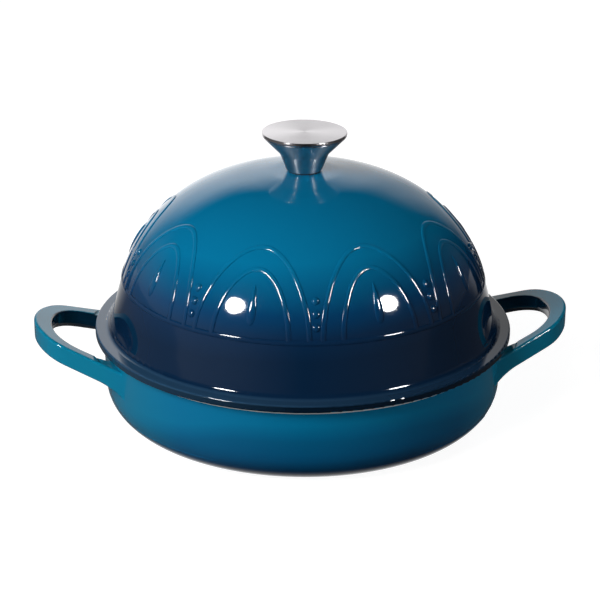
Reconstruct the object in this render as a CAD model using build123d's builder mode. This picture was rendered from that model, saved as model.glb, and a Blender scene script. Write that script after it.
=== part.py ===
from build123d import *
from math import asin, cos, hypot, radians, sin, tan
import os

# An enamelled cast-iron dutch oven: a shallow pan with two loop handles, a tall domed lid
# that sits on the pan's rim by a flat flange, and a flared steel knob held by a screw.
# Sizes are in millimetres and angles in degrees. The origin is the middle of the pan's
# foot, +Z is up, and the two handles lie along X.

# Pan
pan_height = 53.4
rim_diameter = 257.6
pan_wall = 4.5
pan_floor = 5.0
pan_draft = 1.5
pan_corner_radius = 23.0
rim_outer_rounding = 1.5
rim_inner_rounding = 0.8

# Lid
flange_overhang = 5.2
flange_thickness = 4.9
flange_top_rounding = 1.2
flange_bottom_rounding = 1.5
dome_height = 100.9
dome_inset = 14.5
dome_lift = 6.5
dome_fullness = 2.1
skirt_height = 30.7
dome_foot_fillet = 4.0
lid_wall = 4.0
knob_land_diameter = 22.0
lip_depth = 4.0
lip_width = 4.5
lip_clearance = 1.0
lip_rounding = 1.0

# Loop handles, cast with the pan
handle_projection = 43.9
handle_end_radius = 45.8
handle_end_sweep = 36.5
handle_corner_radius = 26.3
handle_flare = 24.2
handle_end_width = 11.3
loop_end_easing = 5.2
loop_end_sweep = 12.3
loop_corner_radius = 28.5
loop_flare = 22.0
handle_slope = 20.0
handle_root_drop = 1.1
handle_depth = 13.0
handle_underside_radius = 36.0
handle_underside_sweep = 58.0
handle_underside_offset = 4.2
handle_top_rounding = 1.5
handle_lower_rounding = 1.5
loop_lower_rounding = 4.5
handle_root_fillet = 14.0
loop_root_fillet = 7.0
handle_bury = 3.0
recess_clearance = 5.5
recess_depth = 2.5
recess_rounding = 2.5

# Knob
knob_diameter = 53.7
knob_foot_diameter = 22.2
knob_height = 24.7
knob_foot_rounding = 1.5
knob_waist_diameter = 31.2
knob_waist_height = 11.2
knob_waist_fillet = 5.0
knob_wall = 1.4
cap_overhang = 0.7
cap_thickness = 2.4
cap_rounding = 0.5
cap_lower_rounding = 0.8
cap_groove_height = 0.4
cap_groove_depth = 1.2
cap_plug_depth = 1.5
cap_plug_clearance = 0.2
insert_diameter = 12.0
insert_chamfer = 0.5
gasket_thickness = 0.8
gasket_inset = 1.2

# Screw and washer inside the dome
screw_diameter = 6.0
screw_clearance = 0.25
thread_clearance = 0.05
screw_grip = 12.0
screw_end_room = 2.0
screw_head_diameter = 12.0
screw_head_height = 3.4
screw_head_rounding = 1.5
screw_slot_width = 1.6
screw_slot_depth = 1.6
washer_diameter = 16.0
washer_thickness = 1.2
washer_rounding = 0.3

# Sizes that follow from the ones above
rim_radius = rim_diameter / 2
wall_across = pan_wall / cos(radians(pan_draft))
corner_radius_at_foot = rim_radius - pan_height * tan(radians(pan_draft))
inner_rim_radius = rim_radius - wall_across
inner_corner_radius = inner_rim_radius - (pan_height - pan_floor) * tan(radians(pan_draft))

flange_radius = rim_radius + flange_overhang
ledge_height = pan_height + flange_thickness
dome_radius = flange_radius - dome_inset
dome_base = ledge_height + dome_lift
dome_top = ledge_height + dome_height
dome_rise = dome_top - dome_base
skirt_top = ledge_height + skirt_height
knob_land_radius = knob_land_diameter / 2
lip_radius = inner_rim_radius - lip_clearance
lip_taper = lip_depth * tan(radians(pan_draft))

knob_radius = knob_diameter / 2
knob_base = dome_top + gasket_thickness
knob_top = knob_base + knob_height
cap_base = knob_top - cap_thickness
cup_top = cap_base - cap_groove_height
cup_floor = knob_base + knob_wall
plug_base = cup_top - cap_plug_depth
mouth_radius = knob_radius - cap_overhang
flare_height = cup_top - knob_base - knob_waist_height
flare_slope = flare_height / (mouth_radius - knob_waist_diameter / 2)
mouth_wall = knob_wall * hypot(1, flare_slope) / flare_slope
plug_radius = mouth_radius - mouth_wall - cap_plug_depth / flare_slope - cap_plug_clearance
screw_radius = screw_diameter / 2
screw_hole_radius = screw_radius + screw_clearance
washer_top = dome_top - lid_wall
screw_seat = washer_top - washer_thickness
screw_end = cup_floor + screw_grip


def dome_line(radius, rise, fullness=dome_fullness):
    """The dome's full curve, from the top of its leaning skirt up to the land at its crown."""
    steps = 10
    power = 2 / fullness
    span = radius - knob_land_radius
    start = asin(((skirt_top - dome_base) / rise) ** (1 / power))
    points = []
    for i in range(steps + 1):
        angle = start + (radians(90) - start) * i / steps
        out = knob_land_radius + span * abs(cos(angle)) ** power
        up = dome_base + rise * sin(angle) ** power
        points.append((out, up))
    lean = (-span * cos(start) ** (power - 1) * sin(start), rise * sin(start) ** (power - 1) * cos(start))
    return Spline(points, tangents=[lean, (-1, 0)])


def skirt_slope(line):
    """How far the skirt under a dome line runs outwards for each millimetre down."""
    way = line % 0
    return -way.X / way.Y


def handle_top(reach):
    """Height of the handle's sloping top face at a distance from the oven's axis."""
    rise = (reach - flange_radius) * tan(radians(handle_slope))
    return pan_height - handle_root_drop + rise


def on_top(edge):
    """Whether an edge lies in the handle's sloping top face."""
    middle = edge @ 0.5
    return abs(middle.Z - handle_top(middle.X)) < 0.01


def under_side(edge):
    """Whether an edge lies nearer to the handle's underside than to its top."""
    middle = edge @ 0.5
    return middle.Z < handle_top(middle.X) - handle_depth / 2


def clear_of_wall(edge):
    """Whether an edge of the handle stands out of the pan's wall."""
    middle = edge @ 0.5
    return middle.X > 0 and hypot(middle.X, middle.Y) > rim_radius - handle_bury / 2


def loop_half(reach, end_radius, end_sweep, corner_radius, flare, inner_end):
    """Half of a loop's outline: end arc, corner arc and a straight arm, all tangent."""
    end_arc = CenterArc((reach - end_radius, 0), end_radius, 0, end_sweep)
    corner_sweep = 90 - flare - end_sweep
    corner_arc = JernArc(end_arc @ 1, end_arc % 1, corner_radius, corner_sweep)
    arm_start = corner_arc @ 1
    arm_end = (inner_end, arm_start.Y + (arm_start.X - inner_end) * tan(radians(flare)))
    Line(arm_start, arm_end)
    Line(arm_end, (inner_end, 0))


# Handle: a sloping bar whose underside curves down to the wall, cut by the finger hole
handle_reach = rim_radius + handle_projection
loop_reach = handle_reach - handle_end_width
loop_end_radius = handle_end_radius + loop_end_easing
wall_circle = rim_radius - handle_bury
handle_inner_end = wall_circle / 2
underside_start = rim_radius + handle_underside_offset
recess_radius = flange_radius + recess_clearance
recess_floor = pan_height - recess_depth

with BuildSketch() as finger_hole:
    with BuildLine():
        loop_half(loop_reach, loop_end_radius, loop_end_sweep,
                  loop_corner_radius, loop_flare, handle_inner_end)
        mirror(about=Plane.XZ)
    make_face()
    Circle(wall_circle, mode=Mode.SUBTRACT)
    fillet(finger_hole.vertices().sort_by(Axis.X)[:2], loop_root_fillet)

# Room for the lid's flange, which leaves a step in the top of each arm
with BuildPart() as flange_room:
    with BuildSketch(Plane.XY.offset(recess_floor)):
        Circle(recess_radius)
    extrude(amount=handle_top(handle_reach))
    fillet(flange_room.edges().group_by(Axis.Z)[0], recess_rounding)

with BuildPart() as handle:
    with BuildSketch() as loop_plan:
        with BuildLine():
            loop_half(handle_reach, handle_end_radius, handle_end_sweep,
                      handle_corner_radius, handle_flare, handle_inner_end)
            mirror(about=Plane.XZ)
        make_face()
        Circle(wall_circle)
        root_corners = loop_plan.vertices().group_by(Axis.Y)
        fillet(root_corners[0] + root_corners[-1], handle_root_fillet)
    extrude(amount=handle_top(handle_reach))
    with BuildSketch(Plane.XZ):
        with BuildLine():
            beyond = handle_reach + handle_depth
            tip = (beyond, handle_top(beyond))
            low_tip = (beyond, handle_top(beyond) - handle_depth)
            low_start = (underside_start, handle_top(underside_start) - handle_depth)
            inward = (-cos(radians(handle_slope)), -sin(radians(handle_slope)))
            Polyline(tip, low_tip, low_start)
            under = JernArc(low_start, inward, handle_underside_radius, handle_underside_sweep)
            low_end = under @ 1
            Polyline(low_end, (handle_inner_end, low_end.Y),
                     (handle_inner_end, handle_top(handle_inner_end)), tip)
        make_face()
    extrude(amount=rim_radius, both=True, mode=Mode.INTERSECT)
    low_outline = handle.edges().filter_by(Axis.Z, reverse=True).filter_by(clear_of_wall)
    fillet(low_outline.filter_by(under_side), handle_lower_rounding)
    top_outline = handle.edges().filter_by(on_top).filter_by(clear_of_wall)
    fillet(top_outline, handle_top_rounding)
    add(finger_hole.sketch)
    extrude(amount=handle_top(handle_reach), mode=Mode.SUBTRACT)
    hole_rim = handle.edges(Select.LAST).filter_by(Axis.Z, reverse=True)
    fillet(hole_rim.filter_by(under_side), loop_lower_rounding)
    top_face = handle.faces().filter_by(lambda face: face.normal_at().Z > 0.5).sort_by(SortBy.AREA)[-1]
    fillet(top_face.inner_wires()[0].edges(), handle_top_rounding)
    add(flange_room.part, mode=Mode.SUBTRACT)

# Pan: a revolved dish with both handles, hollowed last so that the handles end in its wall
with BuildPart() as pan:
    with BuildSketch(Plane.XZ):
        with BuildLine():
            FilletPolyline((0, 0), (corner_radius_at_foot, 0), (rim_radius, pan_height),
                           (0, pan_height), radius=[pan_corner_radius, rim_outer_rounding])
            Line((0, pan_height), (0, 0))
        make_face()
    revolve(axis=Axis.Z)
    add(handle.part)
    mirror(handle.part, about=Plane.YZ)
    with BuildSketch(Plane.XZ):
        with BuildLine():
            FilletPolyline((0, pan_floor), (inner_corner_radius, pan_floor),
                           (inner_rim_radius, pan_height), radius=[pan_corner_radius - pan_wall])
            Polyline((inner_rim_radius, pan_height), (0, pan_height), (0, pan_floor))
        make_face()
    revolve(axis=Axis.Z, mode=Mode.SUBTRACT)
    inner_rim = pan.edges().filter_by(GeomType.CIRCLE).filter_by(
        lambda edge: abs(edge.radius - inner_rim_radius) < 0.01)
    fillet(inner_rim, rim_inner_rounding)
pan.part.label = "pan"

# Lid: dome, flange and locating lip in one wall, with a hole for the knob's screw
with BuildPart() as lid:
    with BuildSketch(Plane.XZ) as lid_section:
        with BuildLine():
            outer = dome_line(dome_radius, dome_rise)
            inner = dome_line(dome_radius - lid_wall, dome_rise - lid_wall)
            Polyline(outer @ 1, (screw_hole_radius, dome_top),
                     (screw_hole_radius, dome_top - lid_wall), inner @ 1)
            lip_foot = pan_height - lip_depth
            lip_outer = (lip_radius - lip_taper, lip_foot)
            lip_inner = (lip_radius - lip_taper - lip_width, lip_foot)
            inner_corner = (lip_inner[0], skirt_top - (lip_inner[0] - (inner @ 0).X) / skirt_slope(inner))
            dome_foot = ((outer @ 0).X + skirt_slope(outer) * skirt_height, ledge_height)
            Polyline(inner @ 0, inner_corner, lip_inner, lip_outer,
                     (lip_radius, pan_height), (flange_radius, pan_height),
                     (flange_radius, ledge_height), dome_foot, outer @ 0)
        make_face()
        fillet(lid_section.vertices().sort_by_distance(dome_foot)[0], dome_foot_fillet)
        low_corner = (flange_radius, pan_height)
        fillet(lid_section.vertices().sort_by_distance(low_corner)[0], flange_bottom_rounding)
        high_corner = (flange_radius, ledge_height)
        fillet(lid_section.vertices().sort_by_distance(high_corner)[0], flange_top_rounding)
        fillet(lid_section.vertices().group_by(Axis.Y)[0], lip_rounding)
    revolve(axis=Axis.Z)
lid.part.label = "lid"

# Knob body: a flared cup with a pinched waist, closed by a floor with a screw hole
with BuildPart() as knob_body:
    with BuildSketch(Plane.XZ):
        with BuildLine():
            foot = (knob_foot_diameter / 2, knob_base)
            waist = (knob_waist_diameter / 2, knob_base + knob_waist_height)
            mouth = (mouth_radius, cup_top)
            FilletPolyline((0, knob_base), foot, waist, mouth, (0, cup_top),
                           radius=[knob_foot_rounding, knob_waist_fillet, 0])
            Line((0, cup_top), (0, knob_base))
        make_face()
    revolve(axis=Axis.Z)
    offset(amount=-knob_wall, openings=knob_body.faces().sort_by(Axis.Z)[-1])
    with Locations((0, 0, knob_base)):
        Hole(screw_hole_radius)
knob_body.part.label = "knob_body"

# Knob cap: a turned disc with a rounded edge over a narrow groove, with a plug that
# centres it in the cup
with BuildPart() as knob_cap:
    with BuildSketch(Plane.XY.offset(plug_base)):
        Circle(plug_radius)
    extrude(amount=cap_plug_depth)
    with BuildSketch(Plane.XY.offset(cup_top)):
        Circle(knob_radius - cap_groove_depth)
    extrude(amount=cap_groove_height)
    with BuildSketch(Plane.XY.offset(cap_base)):
        Circle(knob_radius)
    extrude(amount=cap_thickness)
    fillet(knob_cap.edges().sort_by(Axis.Z)[-1], cap_rounding)
    lower_edge = knob_cap.edges().filter_by(GeomType.CIRCLE).group_by(Axis.Z)
    lower_edge = [ring for ring in lower_edge if abs(ring[0].center().Z - cap_base) < 0.01][0]
    fillet(lower_edge.sort_by(SortBy.LENGTH)[-1], cap_lower_rounding)
knob_cap.part.label = "knob_cap"

# Knob insert: the threaded boss that stands on the cup's floor and carries the cap
with BuildPart() as knob_insert:
    with BuildSketch(Plane.XY.offset(cup_floor)):
        Circle(insert_diameter / 2)
    extrude(amount=plug_base - cup_floor)
    chamfer(knob_insert.edges().group_by(Axis.Z)[0], insert_chamfer)
    with BuildSketch(Plane.XY.offset(cup_floor)):
        Circle(screw_radius + thread_clearance)
    extrude(amount=screw_grip + screw_end_room, mode=Mode.SUBTRACT)
knob_insert.part.label = "knob_insert"

# Knob gasket: a thin ring that keeps the steel foot off the enamel
with BuildPart() as knob_gasket:
    with BuildSketch(Plane.XY.offset(dome_top)):
        Circle(knob_foot_diameter / 2 - gasket_inset)
        Circle(screw_hole_radius, mode=Mode.SUBTRACT)
    extrude(amount=gasket_thickness)
knob_gasket.part.label = "knob_gasket"

# Washer under the screw's head, against the flat land inside the dome
with BuildPart() as screw_washer:
    with BuildSketch(Plane.XY.offset(screw_seat)):
        Circle(washer_diameter / 2)
        Circle(screw_hole_radius, mode=Mode.SUBTRACT)
    extrude(amount=washer_thickness)
    fillet(screw_washer.edges().group_by(Axis.Z)[0].sort_by(SortBy.LENGTH)[-1], washer_rounding)
screw_washer.part.label = "screw_washer"

# Screw: a slotted round head below and a shank up into the insert
with BuildPart() as knob_screw:
    with BuildSketch(Plane.XY.offset(screw_seat)):
        Circle(screw_head_diameter / 2)
    extrude(amount=-screw_head_height)
    fillet(knob_screw.edges().group_by(Axis.Z)[0], screw_head_rounding)
    with BuildSketch(Plane.XY.offset(screw_seat - screw_head_height)):
        Rectangle(screw_head_diameter, screw_slot_width)
    extrude(amount=screw_slot_depth, mode=Mode.SUBTRACT)
    with BuildSketch(Plane.XY.offset(screw_seat)):
        Circle(screw_radius)
    extrude(amount=screw_end - screw_seat)
    chamfer(knob_screw.edges().group_by(Axis.Z)[-1], insert_chamfer)
knob_screw.part.label = "knob_screw"

os.makedirs("parts", exist_ok=True)
export_step(pan.part, "parts/pan.step")
export_step(lid.part, "parts/lid.step")
export_step(knob_body.part, "parts/knob_body.step")
export_step(knob_cap.part, "parts/knob_cap.step")
export_step(knob_insert.part, "parts/knob_insert.step")
export_step(knob_gasket.part, "parts/knob_gasket.step")
export_step(screw_washer.part, "parts/screw_washer.step")
export_step(knob_screw.part, "parts/knob_screw.step")
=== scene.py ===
# %% [markdown]
# # A shallow enamelled oven pan under a tall domed lid
# The iron pan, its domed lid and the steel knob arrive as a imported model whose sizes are
# right. Blender adds what the eye judges: glass enamel that shades from teal to navy, a
# raised band of arches round the dome, turned and polished steel, the lamps of a small
# studio, and the camera. Lengths are in metres, and a helper turns millimetres into them.

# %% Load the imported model
import math

import bmesh
import bpy
from mathutils import Matrix, Vector


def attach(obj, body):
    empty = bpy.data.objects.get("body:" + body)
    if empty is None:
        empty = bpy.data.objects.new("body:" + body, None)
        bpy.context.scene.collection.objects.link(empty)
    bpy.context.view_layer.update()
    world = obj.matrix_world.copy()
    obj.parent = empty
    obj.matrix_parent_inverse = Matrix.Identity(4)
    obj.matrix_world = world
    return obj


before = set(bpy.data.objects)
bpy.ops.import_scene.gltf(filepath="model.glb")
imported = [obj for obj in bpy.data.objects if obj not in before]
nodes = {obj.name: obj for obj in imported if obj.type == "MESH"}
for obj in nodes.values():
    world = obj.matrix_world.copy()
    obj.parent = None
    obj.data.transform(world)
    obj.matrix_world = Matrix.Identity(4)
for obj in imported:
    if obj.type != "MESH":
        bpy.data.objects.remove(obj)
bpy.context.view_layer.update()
scene = bpy.context.scene
print("nodes:", ", ".join(sorted(nodes)))

# %% [markdown]
# ## Small helpers
# Sizes are thought of in millimetres, and colours are picked as sRGB hex values, because
# that is how swatches are written down. Shaders work in linear light, so one function
# turns a swatch into linear numbers. Another adds a node with its settings and links, and
# the short ones after it name the nodes that come back most often.

# %% Millimetres, colours and nodes


def mm(length):
    """Millimetres in metres."""
    return length / 1000


def linear(swatch):
    """An sRGB hex colour as linear red, green, blue and alpha."""
    channels = [int(swatch[i:i + 2], 16) / 255 for i in (1, 3, 5)]
    bent = [c / 12.92 if c <= 0.04045 else ((c + 0.055) / 1.055) ** 2.4 for c in channels]
    return (*bent, 1.0)


def add(tree, kind, inputs=None, **settings):
    """Adds a node, sets its properties, then fills or links its inputs."""
    node = tree.nodes.new(kind)
    for name, value in settings.items():
        setattr(node, name, value)
    for name, value in (inputs or {}).items():
        if isinstance(value, bpy.types.NodeSocket):
            tree.links.new(value, node.inputs[name])
        else:
            node.inputs[name].default_value = value
    return node


def maths(tree, operation, *values):
    """The result of a Math node on up to three numbers or sockets."""
    return add(tree, "ShaderNodeMath", dict(enumerate(values)), operation=operation).outputs[0]


def ramp(tree, factor, stops):
    """A colour ramp with (position, linear colour) stops."""
    node = add(tree, "ShaderNodeValToRGB", {0: factor})
    while len(node.color_ramp.elements) < len(stops):
        node.color_ramp.elements.new(1.0)
    for element, (position, colour) in zip(node.color_ramp.elements, stops):
        element.position = position
        element.color = colour
    return node.outputs["Color"]


def mixed(tree, factor, first, second):
    """The first colour, giving way to the second as the factor grows from 0 to 1."""
    return add(tree, "ShaderNodeMix", {"Factor": factor, 6: first, 7: second},
               data_type="RGBA").outputs[2]


def noise(tree, point, scale, detail=2.0):
    """Cloudy numbers round a half, finer as the scale grows."""
    return add(tree, "ShaderNodeTexNoise",
               {"Vector": point, "Scale": scale, "Detail": detail}).outputs["Fac"]


def dented(tree, height, depth):
    """A normal bent as if the surface rose and fell by the depth."""
    return add(tree, "ShaderNodeBump", {"Height": height, "Distance": depth,
                                        "Strength": 1.0}).outputs["Normal"]


def new_material(name):
    """A material and its empty node tree."""
    material = bpy.data.materials.new(name)
    material.use_nodes = True
    material.node_tree.nodes.clear()
    return material, material.node_tree


def vector(tree, x, y, z):
    """Three numbers or sockets as one vector."""
    return add(tree, "ShaderNodeCombineXYZ", {0: x, 1: y, 2: z}).outputs[0]


def parts_of(tree, source):
    """The three parts of a vector."""
    return add(tree, "ShaderNodeSeparateXYZ", {0: source}).outputs[:3]


def fade(tree, value, edge, softness, top=1.0):
    """Top below an edge, zero above it, with a soft step between."""
    return add(tree, "ShaderNodeMapRange",
               {"Value": value, "From Min": edge - softness, "From Max": edge + softness,
                "To Min": top, "To Max": 0.0}, interpolation_type="SMOOTHSTEP").outputs[0]


print("white stays", linear("#ffffff"), "and mid grey is", round(linear("#808080")[0], 3))

# %% [markdown]
# ## The camera
# The photograph was matched with the model's outlines. The camera stands a little over a
# metre in front of the oven and half a metre above the table, looks down by 22 degrees,
# and sees the left handle slightly nearer than the right one. A long lens keeps the
# outline calm. The tiny roll and shift come from the same match.

# %% Camera
camera_distance = mm(1120.25)
camera_height = mm(522.15)
camera_turn = math.radians(6.376)
camera_pitch = 0.3826
camera_roll = 0.0085
focal_pixels = 1867.53
image_width = 600
axis_pixel = 303.03

turn = Matrix.Rotation(-camera_turn, 3, "Z")
forward = turn @ Vector((0, math.cos(camera_pitch), -math.sin(camera_pitch)))
level = turn @ Vector((1, 0, 0))
upward = level.cross(forward)
right = math.cos(camera_roll) * level + math.sin(camera_roll) * upward
above = math.cos(camera_roll) * upward - math.sin(camera_roll) * level

camera_data = bpy.data.cameras.new("photo_camera")
camera_data.sensor_width = 36.0
camera_data.lens = focal_pixels / image_width * camera_data.sensor_width
camera_data.shift_x = (image_width / 2 - axis_pixel) / image_width
camera = bpy.data.objects.new("photo_camera", camera_data)
camera.matrix_world = Matrix((right, above, -forward)).transposed().to_4x4()
camera.location = turn @ Vector((0, -camera_distance, camera_height))
scene.collection.objects.link(camera)
scene.camera = camera
print("lens in mm:", round(camera_data.lens, 1), "shift:", round(camera_data.shift_x, 4))

# %% [markdown]
# ## Colours of the enamel
# Vitreous enamel is powdered glass melted onto iron. This one is sprayed in two colours
# that blend wet: bright teal-blue on the crown, deep navy round the foot of the dome. The
# glass layer gives sharp mirror images over a colour that looks deep. So each enamel is a
# coloured base under a clear coat. A height ramp on object coordinates makes the blend,
# and a slow noise moves its edge up and down, as the hand of the sprayer does.

# %% Values of the blend
teal = linear("#05729d")
teal_low = linear("#065b84")
mid_blue = linear("#073d66")
low_blue = linear("#085079")
navy_high = linear("#0b2a4a")
navy = linear("#09233e")
# the ledge and the flange's edge are lighter on the left: a painted reflection of the pale room
ledge_painted_reflection_left = linear("#2c4e6c")
ledge_painted_reflection_right = linear("#142a42")
edge_painted_reflection_left = linear("#19384f")
flange_edge = linear("#071a2b")
handle_teal = linear("#087c9c")
loop_dark = linear("#06283f")
# the real pale inside enamel, also used for the pan rim's painted highlight
cream_and_rim_highlight = linear("#e6e4dc")
blend_wander = mm(4.0)
wander_scale = 9.0
peel_scale, peel_detail = 70.0, 1.0
peel_depth = mm(0.004)


def coordinates(tree):
    """Object coordinates of the point, its distance from the oven's axis, and its height."""
    point = add(tree, "ShaderNodeTexCoord").outputs["Object"]
    x, y, z = parts_of(tree, point)
    across = maths(tree, "SQRT", maths(tree, "ADD", maths(tree, "MULTIPLY", x, x),
                                       maths(tree, "MULTIPLY", y, y)))
    return point, across, z


print("teal in linear light:", [round(c, 3) for c in teal[:3]])

# %% [markdown]
# ## One recipe for both enamels
# The lid and the pan differ in where their colours change and in what counts as the
# inside, so a function builds the shared glass and takes those two as arguments. The
# inside is a pale food-safe enamel. Its border is a rule on distance and height, which
# keeps it exact at the rim. A very shallow noise bends the mirror images a little, the
# orange peel that a fired glaze keeps.

# %% Enamel
base_roughness = 0.35
coat_roughness = 0.06
glass_ior = 1.5


def enamel(name, blend, pale_part, spray_and_shade_tilt):
    """Glossy glass over a sprayed colour, with the pale enamel where the mask says 1. On the
    pan the mask also holds its rim, where the pale line is a painted highlight.

    The blend lies lower on the left by the tilt, a height per distance, which makes the right
    side darker: partly uneven spray, partly painted shade.
    """
    material, tree = new_material(name)
    point, across, z = coordinates(tree)
    wander = noise(tree, point, wander_scale)
    shift = maths(tree, "MULTIPLY", maths(tree, "SUBTRACT", wander, 0.5), 2 * blend_wander)
    sideways = parts_of(tree, point)[0]
    shift = maths(tree, "SUBTRACT", shift, maths(tree, "MULTIPLY", sideways, spray_and_shade_tilt))
    outer = blend(tree, maths(tree, "ADD", z, shift), point)
    colour = mixed(tree, pale_part(tree, across, z), outer, cream_and_rim_highlight)
    bump = dented(tree, noise(tree, point, peel_scale, peel_detail), peel_depth)
    glass = add(tree, "ShaderNodeBsdfPrincipled",
                {"Base Color": colour, "Roughness": base_roughness, "IOR": glass_ior,
                 "Specular IOR Level": 0.0, "Coat Weight": 1.0,
                 "Coat Roughness": coat_roughness, "Coat IOR": glass_ior,
                 "Normal": bump, "Coat Normal": bump})
    add(tree, "ShaderNodeOutputMaterial", {"Surface": glass.outputs["BSDF"]})
    return material


def between(tree, length, low, high):
    """How far a length lies between two others, from 0 to 1."""
    return add(tree, "ShaderNodeMapRange", {"Value": length, "From Min": low,
                                            "From Max": high}).outputs[0]


print("coat roughness", coat_roughness, "over a base of", base_roughness)

# %% [markdown]
# ## Enamel of the lid
# The lowest fifth of the dome is navy. Over the next 50 mm the glaze turns into teal, which
# stays up to the crown. The flange's ledge is a lighter blue, more so on its left; the lighter
# left is a painted reflection of the pale room on that side. Its edge is nearly black, and
# lighter at its left end by the same painted reflection. The inside of the dome is found with
# the rule of its wall: the same full curve as the dome, set in the middle of the iron, and
# below it a skirt that leans straight out to the flange.

# %% Lid enamel
land_radius = mm(11.0)
dome_radius = mm(119.5)
dome_base = mm(64.8)
dome_rise = mm(94.4)
dome_fullness = 2.1
skirt_top = mm(89.0)
skirt_top_radius = mm(116.49)
skirt_slope = 0.2652
half_wall = mm(2.0)
flange_under = mm(53.45)
# the tilt makes the right of the lid darker: partly uneven spray, partly painted shade
lid_spray_and_shade_tilt = 0.055
dome_blend = mm(58.0), mm(132.0)
# where the painted reflection fades from the flange's left to its right
painted_reflection_across_flange = mm(-130.0), mm(120.0)
edge_to_ledge = mm(57.26), mm(58.1)
flange_to_dome = mm(58.35), mm(59.4)


def lid_blend(tree, z, point):
    """Navy at the foot of the dome, teal above, and a darker edge round the flange."""
    stops = [(0.0, navy), (0.30, navy), (0.48, navy_high), (0.64, mid_blue),
             (0.81, teal_low), (0.98, teal), (1.0, teal)]
    dome = ramp(tree, between(tree, z, *dome_blend), stops)
    x, _, even = parts_of(tree, point)
    # painted reflection: the ledge and the edge are lighter on the left, darker on the right
    painted_reflection_fade = between(tree, x, *painted_reflection_across_flange)
    ledge = ramp(tree, painted_reflection_fade, [(0.0, ledge_painted_reflection_left), (1.0, ledge_painted_reflection_right)])
    edge = ramp(tree, painted_reflection_fade, [(0.0, edge_painted_reflection_left), (0.45, flange_edge), (1.0, flange_edge)])
    flange = mixed(tree, between(tree, even, *edge_to_ledge), edge, ledge)
    return mixed(tree, between(tree, even, *flange_to_dome), flange, dome)


def skirt_radius(tree, z):
    """Radius of the leaning skirt at a height."""
    below = maths(tree, "SUBTRACT", skirt_top, z)
    return maths(tree, "MULTIPLY_ADD", below, skirt_slope, skirt_top_radius)


def lid_inside(tree, across, z):
    """1 on the lid's inner side and under its flange."""
    out = maths(tree, "DIVIDE", maths(tree, "SUBTRACT", across, land_radius),
                dome_radius - half_wall - land_radius)
    up = maths(tree, "DIVIDE", maths(tree, "SUBTRACT", z, dome_base), dome_rise - half_wall)
    full = maths(tree, "ADD",
                 maths(tree, "POWER", maths(tree, "MAXIMUM", out, 0.0), dome_fullness),
                 maths(tree, "POWER", maths(tree, "MAXIMUM", up, 0.0), dome_fullness))
    within = maths(tree, "MULTIPLY", maths(tree, "LESS_THAN", full, 1.0),
                   maths(tree, "GREATER_THAN", z, skirt_top))
    in_skirt = maths(tree, "MULTIPLY", maths(tree, "LESS_THAN", z, skirt_top),
                     maths(tree, "LESS_THAN", across,
                           maths(tree, "SUBTRACT", skirt_radius(tree, z), half_wall)))
    return maths(tree, "MAXIMUM", maths(tree, "MAXIMUM", within, in_skirt),
                 maths(tree, "LESS_THAN", z, flange_under))


lid_enamel = enamel("lid_vitreous_enamel", lid_blend, lid_inside, lid_spray_and_shade_tilt)
nodes["lid"].material_slots[0].material = lid_enamel
print("lid enamel has", len(lid_enamel.node_tree.nodes), "nodes")

# %% [markdown]
# ## Enamel of the pan
# The pan is teal all the way down its wall and darkens towards the foot. Its rim stays pale,
# a thin line under the lid's flange: a painted highlight on the rounded rim.
# The inside is where the distance to a rounded corner in the middle of the wall says so.

# %% Pan enamel
mid_wall_radius = mm(126.1)
mid_corner_radius = mm(20.75)
corner_height = mm(23.0)
# above this height the pan's rim is painted pale as a highlight line
rim_highlight_line = mm(50.9)
rim_highlight_reach = mm(129.3)
loop_middle = mm(146)
loop_start = mm(130)
# the tilt makes the right of the pan darker: partly uneven spray, partly painted shade
pan_spray_and_shade_tilt = 0.04
wall_blend = 0.0, mm(50.0)
side_start = mm(55)
side_rise = 0.20
handle_blend = mm(85.0), mm(132.0)
turned_in_edge, turned_in_softness = 0.45, 0.25


def pan_blend(tree, z, point):
    """Teal on the wall, dark towards the foot and inside the finger loops.

    The dark foot is narrower under the handles than in front.
    """
    stops = [(0.0, navy), (0.10, navy_high), (0.38, low_blue), (0.64, teal_low), (0.86, teal),
             (1.0, teal)]
    x, y, _ = parts_of(tree, point)
    beside = maths(tree, "MAXIMUM", 0.0,
                   maths(tree, "SUBTRACT", maths(tree, "ABSOLUTE", x), side_start))
    raised = maths(tree, "MULTIPLY_ADD", beside, side_rise, z)
    wall = ramp(tree, between(tree, raised, *wall_blend), stops)
    out = between(tree, maths(tree, "ABSOLUTE", x), *handle_blend)
    wall = mixed(tree, out, wall, handle_teal)
    side = maths(tree, "SIGN", x)
    to_hole = vector(tree, maths(tree, "SUBTRACT", maths(tree, "MULTIPLY", side, loop_middle), x),
                     maths(tree, "MULTIPLY", y, -1.0), 0.0)
    way = add(tree, "ShaderNodeVectorMath", {0: to_hole}, operation="NORMALIZE").outputs["Vector"]
    faces = add(tree, "ShaderNodeTexCoord").outputs["Normal"]
    turned_in = add(tree, "ShaderNodeVectorMath", {0: faces, 1: way}, operation="DOT_PRODUCT")
    turned_out = fade(tree, turned_in.outputs["Value"], turned_in_edge, turned_in_softness)
    inner = maths(tree, "SUBTRACT", 1.0, turned_out)
    beyond = maths(tree, "GREATER_THAN", maths(tree, "ABSOLUTE", x), loop_start)
    return mixed(tree, maths(tree, "MULTIPLY", inner, beyond), wall, loop_dark)


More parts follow.
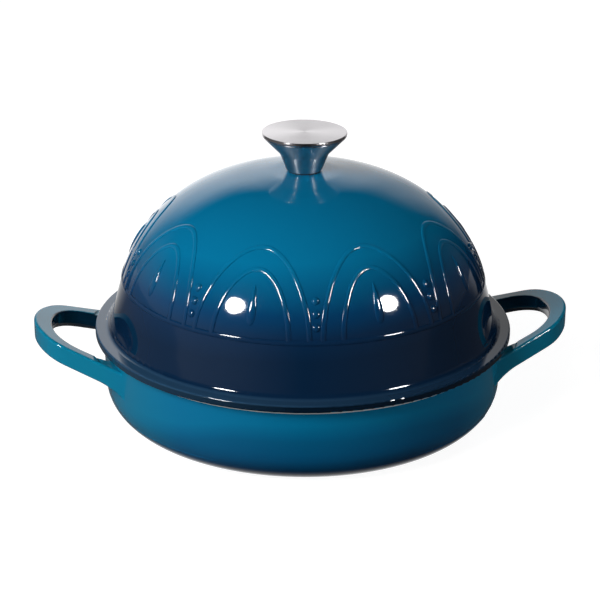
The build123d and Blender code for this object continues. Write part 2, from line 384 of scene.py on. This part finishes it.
def pan_inside_and_rim_highlight(tree, across, z):
    """1 inside the pan, and on its rim, where the pale is a painted highlight."""
    out = maths(tree, "MAXIMUM", 0.0,
                maths(tree, "SUBTRACT", across, mid_wall_radius - mid_corner_radius))
    down = maths(tree, "MAXIMUM", 0.0, maths(tree, "SUBTRACT", corner_height, z))
    corner = maths(tree, "SQRT", maths(tree, "ADD", maths(tree, "MULTIPLY", out, out),
                                       maths(tree, "MULTIPLY", down, down)))
    within = maths(tree, "LESS_THAN", corner, mid_corner_radius)
    # the rim's pale line is a painted highlight
    rim = maths(tree, "MULTIPLY", maths(tree, "GREATER_THAN", z, rim_highlight_line),
                maths(tree, "LESS_THAN", across, rim_highlight_reach))
    return maths(tree, "MAXIMUM", within, rim)


pan_enamel = enamel("pan_vitreous_enamel", pan_blend, pan_inside_and_rim_highlight, pan_spray_and_shade_tilt)
nodes["pan"].material_slots[0].material = pan_enamel
print("pan enamel has", len(pan_enamel.node_tree.nodes), "nodes")

# %% [markdown]
# ## The raised band round the dome
# Low relief is cast into the iron and the enamel softens it. Here it is a plain arcade:
# two concentric arches in each bay, a long drop under them, an upright row of three beads
# between one bay and the next, and a fine line that ties the bays together. Everything
# repeats nine times, so Geometry Nodes draw one bay flat, with X along the band, Y up the
# dome and Z out of it, copy it along X, and then wrap the flat strip onto the dome.
# Wrapping means: walk up the dome's own curve by Y, step out by Z, and turn about the axis
# by X. Each shape has a buried underside, so that it grows out of the surface.

# %% Sizes of the band
bays = 9
band_radius = mm(116.0)
line_height_on_curve = mm(26.6)
arch_rise = mm(58.0)
arch_share = 0.90
inner_share = 0.66
inner_rise_share = 0.74
ridge_width = mm(3.2)
ridge_height = mm(0.85)
hump_power = 1.6
drop_length = mm(25.0)
drop_width = mm(8.5)
drop_place = 0.36
drop_taper = 0.75
drop_relief = 1.3
beads_in_row = 3
bead_diameter = mm(5.0)
bead_start = mm(9.0)
bead_pitch = mm(8.0)
bead_relief = 1.5
buried = mm(0.5)
edge_sink = 0.15 * buried
profile_points = 200
section_points = 20
arch_points = 64
line_points = 361
ball_segments, ball_rings = 28, 16
weld_distance = mm(0.01)
band_phase = math.radians(17.6)
bay_width = 2 * math.pi * band_radius / bays
print("a bay is", round(1000 * bay_width, 1), "mm wide at the line")

# %% Helpers for the tree


def number_input(tree, name, value):
    """A named input of the tree, with its starting value."""
    item = tree.interface.new_socket(name=name, in_out="INPUT", socket_type="NodeSocketFloat")
    item.default_value = value
    return item


def place(tree, geometry, position):
    """Moves every point to a position."""
    return add(tree, "GeometryNodeSetPosition",
               {"Geometry": geometry, "Position": position}).outputs[0]


def positions(tree):
    """The three parts of each point's position."""
    return parts_of(tree, add(tree, "GeometryNodeInputPosition").outputs[0])


def dense_line(tree, count, ends=None):
    """A straight curve with that many points."""
    line = add(tree, "GeometryNodeCurvePrimitiveLine", ends).outputs[0]
    return add(tree, "GeometryNodeResampleCurve", {"Curve": line, "Count": count}).outputs[0]


def along_curve(tree, whole):
    """A number that grows from 0 to the whole along a curve."""
    share = add(tree, "GeometryNodeSplineParameter").outputs["Factor"]
    return maths(tree, "MULTIPLY", share, whole)


def joined(tree, shapes):
    """Several shapes as one."""
    join = add(tree, "GeometryNodeJoinGeometry")
    for shape in shapes:
        tree.links.new(shape, join.inputs[0])
    return join.outputs[0]


print("the tree will copy one bay", bays, "times")

# %% [markdown]
# ### The dome's own curve
# A line of two hundred points is bent into the dome's profile with the same rule that the
# iron follows: a straight leaning skirt, then a full curve with the exponent 2.1 up to the
# flat land under the knob. Sample Curve can then walk along it by true length.

# %% Profile and ridge section


def dome_profile(tree):
    """The dome's outer profile as a curve in the XZ plane, from the skirt upwards."""
    angle = along_curve(tree, math.pi / 2)
    power = 2 / dome_fullness
    out = maths(tree, "POWER", maths(tree, "ABSOLUTE", maths(tree, "COSINE", angle)), power)
    up = maths(tree, "POWER", maths(tree, "ABSOLUTE", maths(tree, "SINE", angle)), power)
    x = maths(tree, "MULTIPLY_ADD", out, dome_radius - land_radius, land_radius)
    z = maths(tree, "MULTIPLY_ADD", up, dome_rise, dome_base)
    gained = maths(tree, "MULTIPLY", maths(tree, "LESS_THAN", z, skirt_top),
                   maths(tree, "SUBTRACT", skirt_radius(tree, z), x))
    return place(tree, dense_line(tree, profile_points),
                 vector(tree, maths(tree, "ADD", x, gained), 0.0, z))


def ridge_section(tree, width, height):
    """A closed section: a soft hump above, a shallow belly buried below."""
    circle = add(tree, "GeometryNodeCurvePrimitiveCircle",
                 {"Resolution": section_points}).outputs[0]
    angle = along_curve(tree, 2 * math.pi)
    side = maths(tree, "COSINE", angle)
    x = maths(tree, "MULTIPLY", side, maths(tree, "MULTIPLY", width, 0.5))
    lift = maths(tree, "MAXIMUM", maths(tree, "SINE", angle), 0.0)
    hump = maths(tree, "MULTIPLY", maths(tree, "POWER", lift, hump_power), height)
    sunk = maths(tree, "MULTIPLY", maths(tree, "MINIMUM", maths(tree, "SINE", angle), 0.0), buried)
    y = maths(tree, "SUBTRACT", maths(tree, "ADD", hump, sunk), edge_sink)
    return place(tree, circle, vector(tree, x, y, 0.0))


print("the skirt leans", round(math.degrees(math.atan(skirt_slope)), 1), "degrees outwards")

# %% [markdown]
# ### The shapes of one bay
# An arch is half an ellipse of points, swept with the ridge's section. A drop is a ball
# that is flattened and pulled to a point at its top. A bead is a flattened ball.

# %% Arch, drop and bead


def arch(tree, width, rise, foot, section):
    """A half-round ridge over a bay, springing from the line."""
    angle = along_curve(tree, math.pi)
    half = maths(tree, "MULTIPLY", width, 0.5)
    x = maths(tree, "MULTIPLY", maths(tree, "COSINE", angle), half)
    y = maths(tree, "MULTIPLY_ADD", maths(tree, "SINE", angle), rise, foot)
    curve = place(tree, dense_line(tree, arch_points), vector(tree, x, y, 0.0))
    return add(tree, "GeometryNodeCurveToMesh", {"Curve": curve, "Profile Curve": section,
                                                 "Fill Caps": True}).outputs[0]


def ball(tree, width, length, height, centre, taper):
    """A flattened ball, pulled to a point upwards as taper grows from 0."""
    sphere = add(tree, "GeometryNodeMeshUVSphere",
                 {"Segments": ball_segments, "Rings": ball_rings, "Radius": 1.0}).outputs[0]
    px, py, pz = positions(tree)
    # the poles of the ball lie along its length, where the drop comes to its point
    narrow = maths(tree, "SUBTRACT", 1.0, maths(tree, "MULTIPLY", taper,
                                                maths(tree, "MULTIPLY_ADD", pz, 0.5, 0.5)))
    x = maths(tree, "MULTIPLY", maths(tree, "MULTIPLY", px, narrow),
              maths(tree, "MULTIPLY", width, 0.5))
    y = maths(tree, "MULTIPLY_ADD", pz, maths(tree, "MULTIPLY", length, 0.5), centre)
    lift = maths(tree, "MULTIPLY", maths(tree, "MAXIMUM", maths(tree, "MULTIPLY", py, -1.0), 0.0),
                 height)
    sunk = maths(tree, "MULTIPLY", maths(tree, "MAXIMUM", py, 0.0), buried)
    z = maths(tree, "SUBTRACT", maths(tree, "SUBTRACT", lift, sunk), edge_sink)
    return place(tree, sphere, vector(tree, x, y, z))


print("an arch rises", round(1000 * arch_rise), "mm up the dome")

# %% [markdown]
# ### The whole tree
# The line runs once round the dome, so it is not part of a bay. The bays are instances on
# a row of points, made real before they are wrapped, because wrapping moves each point on
# its own. The phase turns the whole band so that each mirrored lamp falls inside an arch,
# beside its drop.

# %% Tree of the band
tree = bpy.data.node_groups.new("raised_arcade", "GeometryNodeTree")
tree.interface.new_socket(name="Geometry", in_out="OUTPUT", socket_type="NodeSocketGeometry")
band_inputs = {"Arch rise": arch_rise, "Ridge width": ridge_width,
               "Ridge height": ridge_height, "Line up the dome": line_height_on_curve,
               "Drop length": drop_length, "Drop width": drop_width,
               "Bead diameter": bead_diameter}
sockets = {name: number_input(tree, name, value) for name, value in band_inputs.items()}
group = tree.nodes.new("NodeGroupInput").outputs
rise, foot, tall = group["Arch rise"], group["Line up the dome"], group["Ridge height"]
section = ridge_section(tree, group["Ridge width"], tall)
shapes = [arch(tree, arch_share * bay_width, rise, foot, section),
          arch(tree, inner_share * arch_share * bay_width,
               maths(tree, "MULTIPLY", rise, inner_rise_share), foot, section),
          ball(tree, group["Drop width"], group["Drop length"],
               maths(tree, "MULTIPLY", tall, drop_relief),
               maths(tree, "MULTIPLY_ADD", rise, drop_place, foot), drop_taper)]
bead_size = group["Bead diameter"]
bead = ball(tree, bead_size, bead_size, maths(tree, "MULTIPLY", tall, bead_relief), 0.0, 0.0)
first_bead = vector(tree, bay_width / 2, maths(tree, "ADD", foot, bead_start), 0.0)
bead_points = add(tree, "GeometryNodeMeshLine", {
    "Count": beads_in_row, "Start Location": first_bead,
    "Offset": vector(tree, 0.0, bead_pitch, 0.0)}).outputs[0]
bead_row = add(tree, "GeometryNodeInstanceOnPoints",
               {"Points": bead_points, "Instance": bead}).outputs[0]
bay = joined(tree, shapes + [bead_row])
row = add(tree, "GeometryNodeMeshLine",
          {"Count": bays, "Offset": (bay_width, 0.0, 0.0)}).outputs[0]
copies = add(tree, "GeometryNodeInstanceOnPoints",
             {"Points": row, "Instance": bay}).outputs[0]
around = place(tree, dense_line(tree, line_points, {"End": (bays * bay_width, 0.0, 0.0)}),
               vector(tree, positions(tree)[0], foot, 0.0))
tie_line = add(tree, "GeometryNodeCurveToMesh",
               {"Curve": around, "Profile Curve": section}).outputs[0]
flat = joined(tree, (copies, tie_line))
real = add(tree, "GeometryNodeRealizeInstances", {"Geometry": flat}).outputs[0]
x, y, z = positions(tree)
walk = add(tree, "GeometryNodeSampleCurve", {"Curves": dome_profile(tree), "Length": y},
           mode="LENGTH", data_type="FLOAT")
on_x, _, on_z = parts_of(tree, walk.outputs["Position"])
way_x, _, way_z = parts_of(tree, walk.outputs["Tangent"])
reach = maths(tree, "MULTIPLY_ADD", way_z, z, on_x)
height = maths(tree, "SUBTRACT", on_z, maths(tree, "MULTIPLY", way_x, z))
angle = maths(tree, "MULTIPLY_ADD", x, 1 / band_radius, band_phase)
wrapped_x = maths(tree, "MULTIPLY", reach, maths(tree, "SINE", angle))
wrapped_y = maths(tree, "MULTIPLY", maths(tree, "MULTIPLY", reach, -1.0),
                  maths(tree, "COSINE", angle))
wrapped = place(tree, real, vector(tree, wrapped_x, wrapped_y, height))
welded = add(tree, "GeometryNodeMergeByDistance",
             {"Geometry": wrapped, "Distance": weld_distance}).outputs[0]
smooth = add(tree, "GeometryNodeSetShadeSmooth", {"Geometry": welded}).outputs[0]
painted = add(tree, "GeometryNodeSetMaterial",
              {"Geometry": smooth, "Material": lid_enamel}).outputs[0]
add(tree, "NodeGroupOutput", {0: painted})
print("the tree has", len(tree.nodes), "nodes")

# %% [markdown]
# ### From modifier to plain mesh
# The band is evaluated once and kept as a plain mesh, because the model is exported
# without modifiers.

# %% Make the band
carrier_mesh = bpy.data.meshes.new("band_carrier")
carrier_mesh.materials.append(lid_enamel)
carrier = bpy.data.objects.new("band_carrier", carrier_mesh)
scene.collection.objects.link(carrier)
modifier = carrier.modifiers.new("arcade", "NODES")
modifier.node_group = tree
for name, value in band_inputs.items():
    modifier[sockets[name].identifier] = value
graph = bpy.context.evaluated_depsgraph_get()
band_mesh = bpy.data.meshes.new_from_object(carrier.evaluated_get(graph))
carrier.modifiers.clear()
bpy.data.objects.remove(carrier)
band_mesh.name = "lid_raised_band"
band_mesh.materials.clear()
band_mesh.materials.append(lid_enamel)
for face in band_mesh.polygons:
    face.material_index = 0
band = bpy.data.objects.new("lid_raised_band", band_mesh)
scene.collection.objects.link(band)
print("band:", len(band_mesh.polygons), "faces in", [m.name for m in band_mesh.materials])

# %% Turn the band's faces outwards and count its open edges
work = bmesh.new()
work.from_mesh(band_mesh)
bmesh.ops.recalc_face_normals(work, faces=work.faces)
open_edges = sum(1 for edge in work.edges if not edge.is_manifold)
work.to_mesh(band_mesh)
work.free()
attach(band, "lid")
print("open edges in the band:", open_edges)

# %% [markdown]
# ## Steel of the knob
# The knob is stainless steel, spun into a flared cup and polished on the wheel, and closed
# by a disc that was faced on a lathe. Both keep circles round the axis that are finer than
# the eye can part. They draw each lamp out across the circles: into a line through the
# centre of the disc, and into an upright streak on the cup. An anisotropic reflection does
# that: the tangent runs round the axis, and a quarter turn stretches the reflection across.

# %% Polished and turned steel
quarter_turn = 0.25
wear_scale, wear = 60.0, 0.15


def steel(name, swatch, roughness, anisotropy, ring_spacing, ring_depth):
    """Stainless steel worked on a lathe: fine circles round the oven's axis."""
    material, tree = new_material(name)
    point, across, z = coordinates(tree)
    rings = maths(tree, "SINE", maths(tree, "MULTIPLY", maths(tree, "ADD", across, z),
                                      2 * math.pi / ring_spacing))
    bump = dented(tree, rings, ring_depth)
    cloud = noise(tree, point, wear_scale)
    worn = add(tree, "ShaderNodeMapRange", {"Value": cloud, "To Min": (1 - wear) * roughness,
                                            "To Max": (1 + wear) * roughness}).outputs[0]
    metal = {"Base Color": linear(swatch), "Metallic": 1.0, "Roughness": worn, "Normal": bump}
    if anisotropy:
        round_axis = add(tree, "ShaderNodeTangent", direction_type="RADIAL", axis="Z")
        metal["Anisotropic"] = anisotropy
        metal["Anisotropic Rotation"] = quarter_turn
        metal["Tangent"] = round_axis.outputs[0]
    shader = add(tree, "ShaderNodeBsdfPrincipled", metal)
    add(tree, "ShaderNodeOutputMaterial", {"Surface": shader.outputs["BSDF"]})
    return material


polished_steel = steel("polished_stainless_steel", "#c4c4c6", roughness=0.30, anisotropy=0.9,
                       ring_spacing=mm(0.9), ring_depth=mm(0.0005))
turned_steel = steel("lathe_turned_stainless_steel", "#c7c4c7", roughness=0.24, anisotropy=0.7,
                     ring_spacing=mm(0.7), ring_depth=mm(0.001))
plain_steel = steel("machined_steel", "#a8a8a8", roughness=0.35, anisotropy=0.0,
                    ring_spacing=mm(0.8), ring_depth=mm(0.003))
for name, material in (("knob_body", polished_steel), ("knob_cap", turned_steel),
                       ("knob_insert", plain_steel), ("knob_screw", plain_steel),
                       ("screw_washer", plain_steel)):
    nodes[name].material_slots[0].material = material
print("turned steel on", nodes["knob_cap"].name, "and polished steel on", nodes["knob_body"].name)

# %% [markdown]
# ## The knob's gasket
# A thin silicone ring keeps the steel foot off the glass. Silicone is matt and nearly
# black, with a fine moulded grain.

# %% Silicone
grain_scale, grain_depth = 900.0, mm(0.02)
silicone, rubber = new_material("moulded_silicone")
grain = noise(rubber, coordinates(rubber)[0], grain_scale)
grain_bump = dented(rubber, grain, grain_depth)
rubber_shader = add(rubber, "ShaderNodeBsdfPrincipled",
                    {"Base Color": linear("#1c1c1d"), "Roughness": 0.7, "Normal": grain_bump})
add(rubber, "ShaderNodeOutputMaterial", {"Surface": rubber_shader.outputs["BSDF"]})
nodes["knob_gasket"].material_slots[0].material = silicone
print("silicone grain is about", round(1000 / grain_scale, 1), "mm")

# %% [markdown]
# ## The studio
# The glass tells where the light is. Two round lamps stand in front, left and right, and
# show as small white discs. A white card stands close behind the oven: it is what the
# crown, the handles and the outlines mirror, and it is brighter on its left. The left side
# of the room is dim grey and the front is dark. The colour itself comes from large soft
# lamps, most of it from the left and some from the right side and from behind, all kept
# out of the mirror images. World and floor share one rule for what a mirror image sees in
# each direction, and both are plain white to the camera.

# %% Room seen in reflections
back_strength = 0.30
left_strength = 0.27
right_strength = 0.095
front_strength = 0.007
fill_strength = 0.06
# angles in degrees: how far the pale wall reaches to each side of straight behind, and how
# high the wall and the sides reach, each with the half width of its soft border
wall_angle, wall_softness = 32, 8
wall_climb, wall_climb_softness = 30, 10
side_climb, side_climb_softness = 16, 14


def room_light(tree, direction, back, half_angle, softness):
    """Brightness of the room in a direction: pale behind, grey on the left, dark in front."""
    turned = add(tree, "ShaderNodeVectorRotate", {"Vector": direction, "Angle": camera_turn},
                 rotation_type="Z_AXIS").outputs[0]
    x, y, z = parts_of(tree, turned)
    flat_length = maths(tree, "SQRT",
                        maths(tree, "MULTIPLY_ADD", x, x, maths(tree, "MULTIPLY", y, y)))
    heading = maths(tree, "ARCTAN2", x, y)
    climb = maths(tree, "ARCTAN2", z, flat_length)
    wall = maths(tree, "MULTIPLY",
                 fade(tree, maths(tree, "ABSOLUTE", heading), math.radians(half_angle),
                      math.radians(softness), back),
                 fade(tree, climb, math.radians(wall_climb), math.radians(wall_climb_softness)))
    sideways = maths(tree, "SINE", heading)
    side = maths(tree, "MAXIMUM", maths(tree, "MULTIPLY", sideways, -left_strength),
                 maths(tree, "MULTIPLY", sideways, right_strength))
    low = fade(tree, climb, math.radians(side_climb), math.radians(side_climb_softness))
    side = maths(tree, "MULTIPLY", side, low)
    return maths(tree, "ADD", maths(tree, "MAXIMUM", wall, side), front_strength)


world = bpy.data.worlds.new("studio")
scene.world = world
world.use_nodes = True
sky = world.node_tree
sky.nodes.clear()
looking = add(sky, "ShaderNodeTexCoord").outputs["Generated"]
rays = add(sky, "ShaderNodeLightPath").outputs
seen = maths(sky, "MAXIMUM", rays["Is Camera Ray"], rays["Is Transmission Ray"])
mirrored = room_light(sky, looking, back_strength, wall_angle, wall_softness)
more = maths(sky, "SUBTRACT", mirrored, fill_strength)
soft = maths(sky, "MULTIPLY_ADD", rays["Is Glossy Ray"], more, fill_strength)
unseen = maths(sky, "SUBTRACT", 1.0, seen)
strength = maths(sky, "ADD", maths(sky, "MULTIPLY", soft, unseen), seen)
glow = add(sky, "ShaderNodeBackground", {"Color": (1.0, 1.0, 1.0, 1.0), "Strength": strength})
add(sky, "ShaderNodeOutputWorld", {"Surface": glow.outputs[0]})
print("fill light", fill_strength, "left side", left_strength)

# %% White card behind the oven
card_distance = mm(300)
card_half_width = mm(420)
card_height = mm(460)
card_strength = 1.5
card_fade, card_softness = mm(345), mm(75)
# millimetres to the right of the card's middle, and the share of its strength there
card_levels = [(-400, 0.0), (-330, 0.18), (-225, 0.72), (-120, 0.96), (-30, 0.92), (35, 0.76),
               (80, 0.64), (110, 0.53), (140, 0.42), (190, 0.36), (300, 0.0)]
card_mesh = bpy.data.meshes.new("white_card")
corners = [(-card_half_width, 0, 0), (card_half_width, 0, 0),
           (card_half_width, 0, card_height), (-card_half_width, 0, card_height)]
card_mesh.from_pydata(corners, [], [(0, 1, 2, 3)])
card = bpy.data.objects.new("white_card", card_mesh)
card.matrix_world = turn.to_4x4()
card.location = turn @ Vector((0, card_distance, 0))
scene.collection.objects.link(card)
card.visible_camera = False
card.visible_diffuse = False
card.visible_shadow = False
board, paint = new_material("white_card")
card_x, _, card_z = parts_of(paint, add(paint, "ShaderNodeTexCoord").outputs["Object"])
sideways = maths(paint, "MULTIPLY_ADD", card_x, 0.5 / card_half_width, 0.5)
card_stops = [(0.5 + mm(at) * 0.5 / card_half_width, (grey, grey, grey, 1.0))
              for at, grey in card_levels]
across_card = ramp(paint, sideways, card_stops)
up_card = fade(paint, card_z, card_fade, card_softness)
card_glow = maths(paint, "MULTIPLY", up_card, card_strength)
card_light = add(paint, "ShaderNodeEmission",
                 {"Color": across_card, "Strength": card_glow}).outputs[0]
add(paint, "ShaderNodeOutputMaterial", {"Surface": card_light})
card_mesh.materials.append(board)
print("card", round(2000 * card_half_width), "mm wide,", round(1000 * card_height), "mm high")

# %% [markdown]
# ## The floor
# A plain disc. To the camera it glows white. Near the oven the glow dips a little and the
# lamps make up for it, so that the oven's soft shadow still shows by the foot. To a mirror
# image it is the same room as the world, judged by where the spot lies from the oven's
# middle. A patch under the oven is bright as well, and the rounded foot of the pan mirrors
# it as a pale line.

# %% Floor
floor_radius = 6.0
floor_gap = mm(0.2)
# the paper's grey, which is doubled for the camera
paper_grey = 0.15
glow_dip, dip_edge, dip_softness = 0.07, mm(300), mm(150)
foot_glow, foot_edge, foot_softness = 1.2, mm(118), mm(8)
# the share of the room's sides that the floor gives back, and its own level behind the oven
floor_share = 0.45
floor_wall, floor_wall_angle, floor_wall_softness = 1.1, 44, 20

floor_mesh = bpy.data.meshes.new("studio_floor")
work = bmesh.new()
bmesh.ops.create_circle(work, cap_ends=True, segments=96, radius=floor_radius)
work.to_mesh(floor_mesh)
work.free()
floor = bpy.data.objects.new("studio_floor", floor_mesh)
floor.location.z = -floor_gap
scene.collection.objects.link(floor)
paper, ground = new_material("white_paper_floor")
spot = add(ground, "ShaderNodeTexCoord").outputs["Object"]
rays = add(ground, "ShaderNodeLightPath").outputs
from_middle = add(ground, "ShaderNodeVectorMath", {0: spot}, operation="LENGTH").outputs["Value"]
grey = maths(ground, "MULTIPLY_ADD", rays["Is Camera Ray"], paper_grey, paper_grey)
lit = add(ground, "ShaderNodeBsdfDiffuse", {"Color": vector(ground, grey, grey, grey)}).outputs[0]
white_glow = maths(ground, "SUBTRACT", 1.0,
                   fade(ground, from_middle, dip_edge, dip_softness, glow_dip))
camera_glow = maths(ground, "MULTIPLY", rays["Is Camera Ray"], white_glow)
near_glow = fade(ground, from_middle, foot_edge, foot_softness, foot_glow)
room = room_light(ground, spot, floor_wall / floor_share, floor_wall_angle, floor_wall_softness)
room_on_floor = maths(ground, "MULTIPLY", room, floor_share)
mirror_glow = maths(ground, "MULTIPLY", rays["Is Glossy Ray"],
                    maths(ground, "MAXIMUM", near_glow, room_on_floor))
glow = add(ground, "ShaderNodeEmission",
           {"Strength": maths(ground, "ADD", camera_glow, mirror_glow)}).outputs[0]
both = add(ground, "ShaderNodeAddShader", {0: lit, 1: glow}).outputs[0]
either = add(ground, "ShaderNodeMixShader",
             {0: rays["Is Glossy Ray"], 1: both, 2: glow}).outputs[0]
add(ground, "ShaderNodeOutputMaterial", {"Surface": either})
floor_mesh.materials.append(paper)
print("floor radius", floor_radius, "m")

# %% [markdown]
# ## The lamps
# Every lamp is a disc that faces the dome. The two round ones are there only for their
# mirror images, the white spots, and give no light to the colour. The other four light the
# colour and have no mirror image, so that their size and place don't show in the glass.

# %% Lamps
aim_height = mm(100)


def disc_lamp(name, power, width, direction, distance, mirrored):
    """A round lamp at a distance in a direction seen from the dome, facing it.

    It shows in mirror images and lights no colour, or the other way round.
    """
    data = bpy.data.lights.new(name, "AREA")
    data.shape = "DISK"
    data.size = width
    data.energy = power
    lamp = bpy.data.objects.new(name, data)
    towards = turn @ Vector(direction).normalized()
    lamp.location = Vector((0, 0, aim_height)) + distance * towards
    lamp.rotation_euler = towards.to_track_quat("Z", "Y").to_euler()
    scene.collection.objects.link(lamp)
    if mirrored:
        lamp.visible_diffuse = False
    else:
        lamp.visible_glossy = False


# name, power in watts, width in metres, direction, distance in metres, mirrored or not
for lamp_values in (("left_round_lamp", 22.0, 0.34, (-0.625, -0.61, 0.487), 1.7, True),
                    ("right_round_lamp", 22.0, 0.34, (0.751, -0.476, 0.457), 1.7, True),
                    ("large_soft_lamp", 11.2, 0.6, (-0.561, -0.623, 0.545), 1.2, False),
                    ("low_left_lamp", 12.0, 0.9, (-0.62, -0.78, 0.05), 2.2, False),
                    ("right_side_lamp", 12.0, 0.9, (0.97, -0.15, 0.08), 2.2, False),
                    ("back_lamp", 12.0, 0.9, (0.50, 0.84, 0.20), 2.2, False)):
    disc_lamp(*lamp_values)
scene.view_settings.view_transform = "Standard"
print("lamps:", ", ".join(sorted(lamp.name for lamp in bpy.data.lights)))
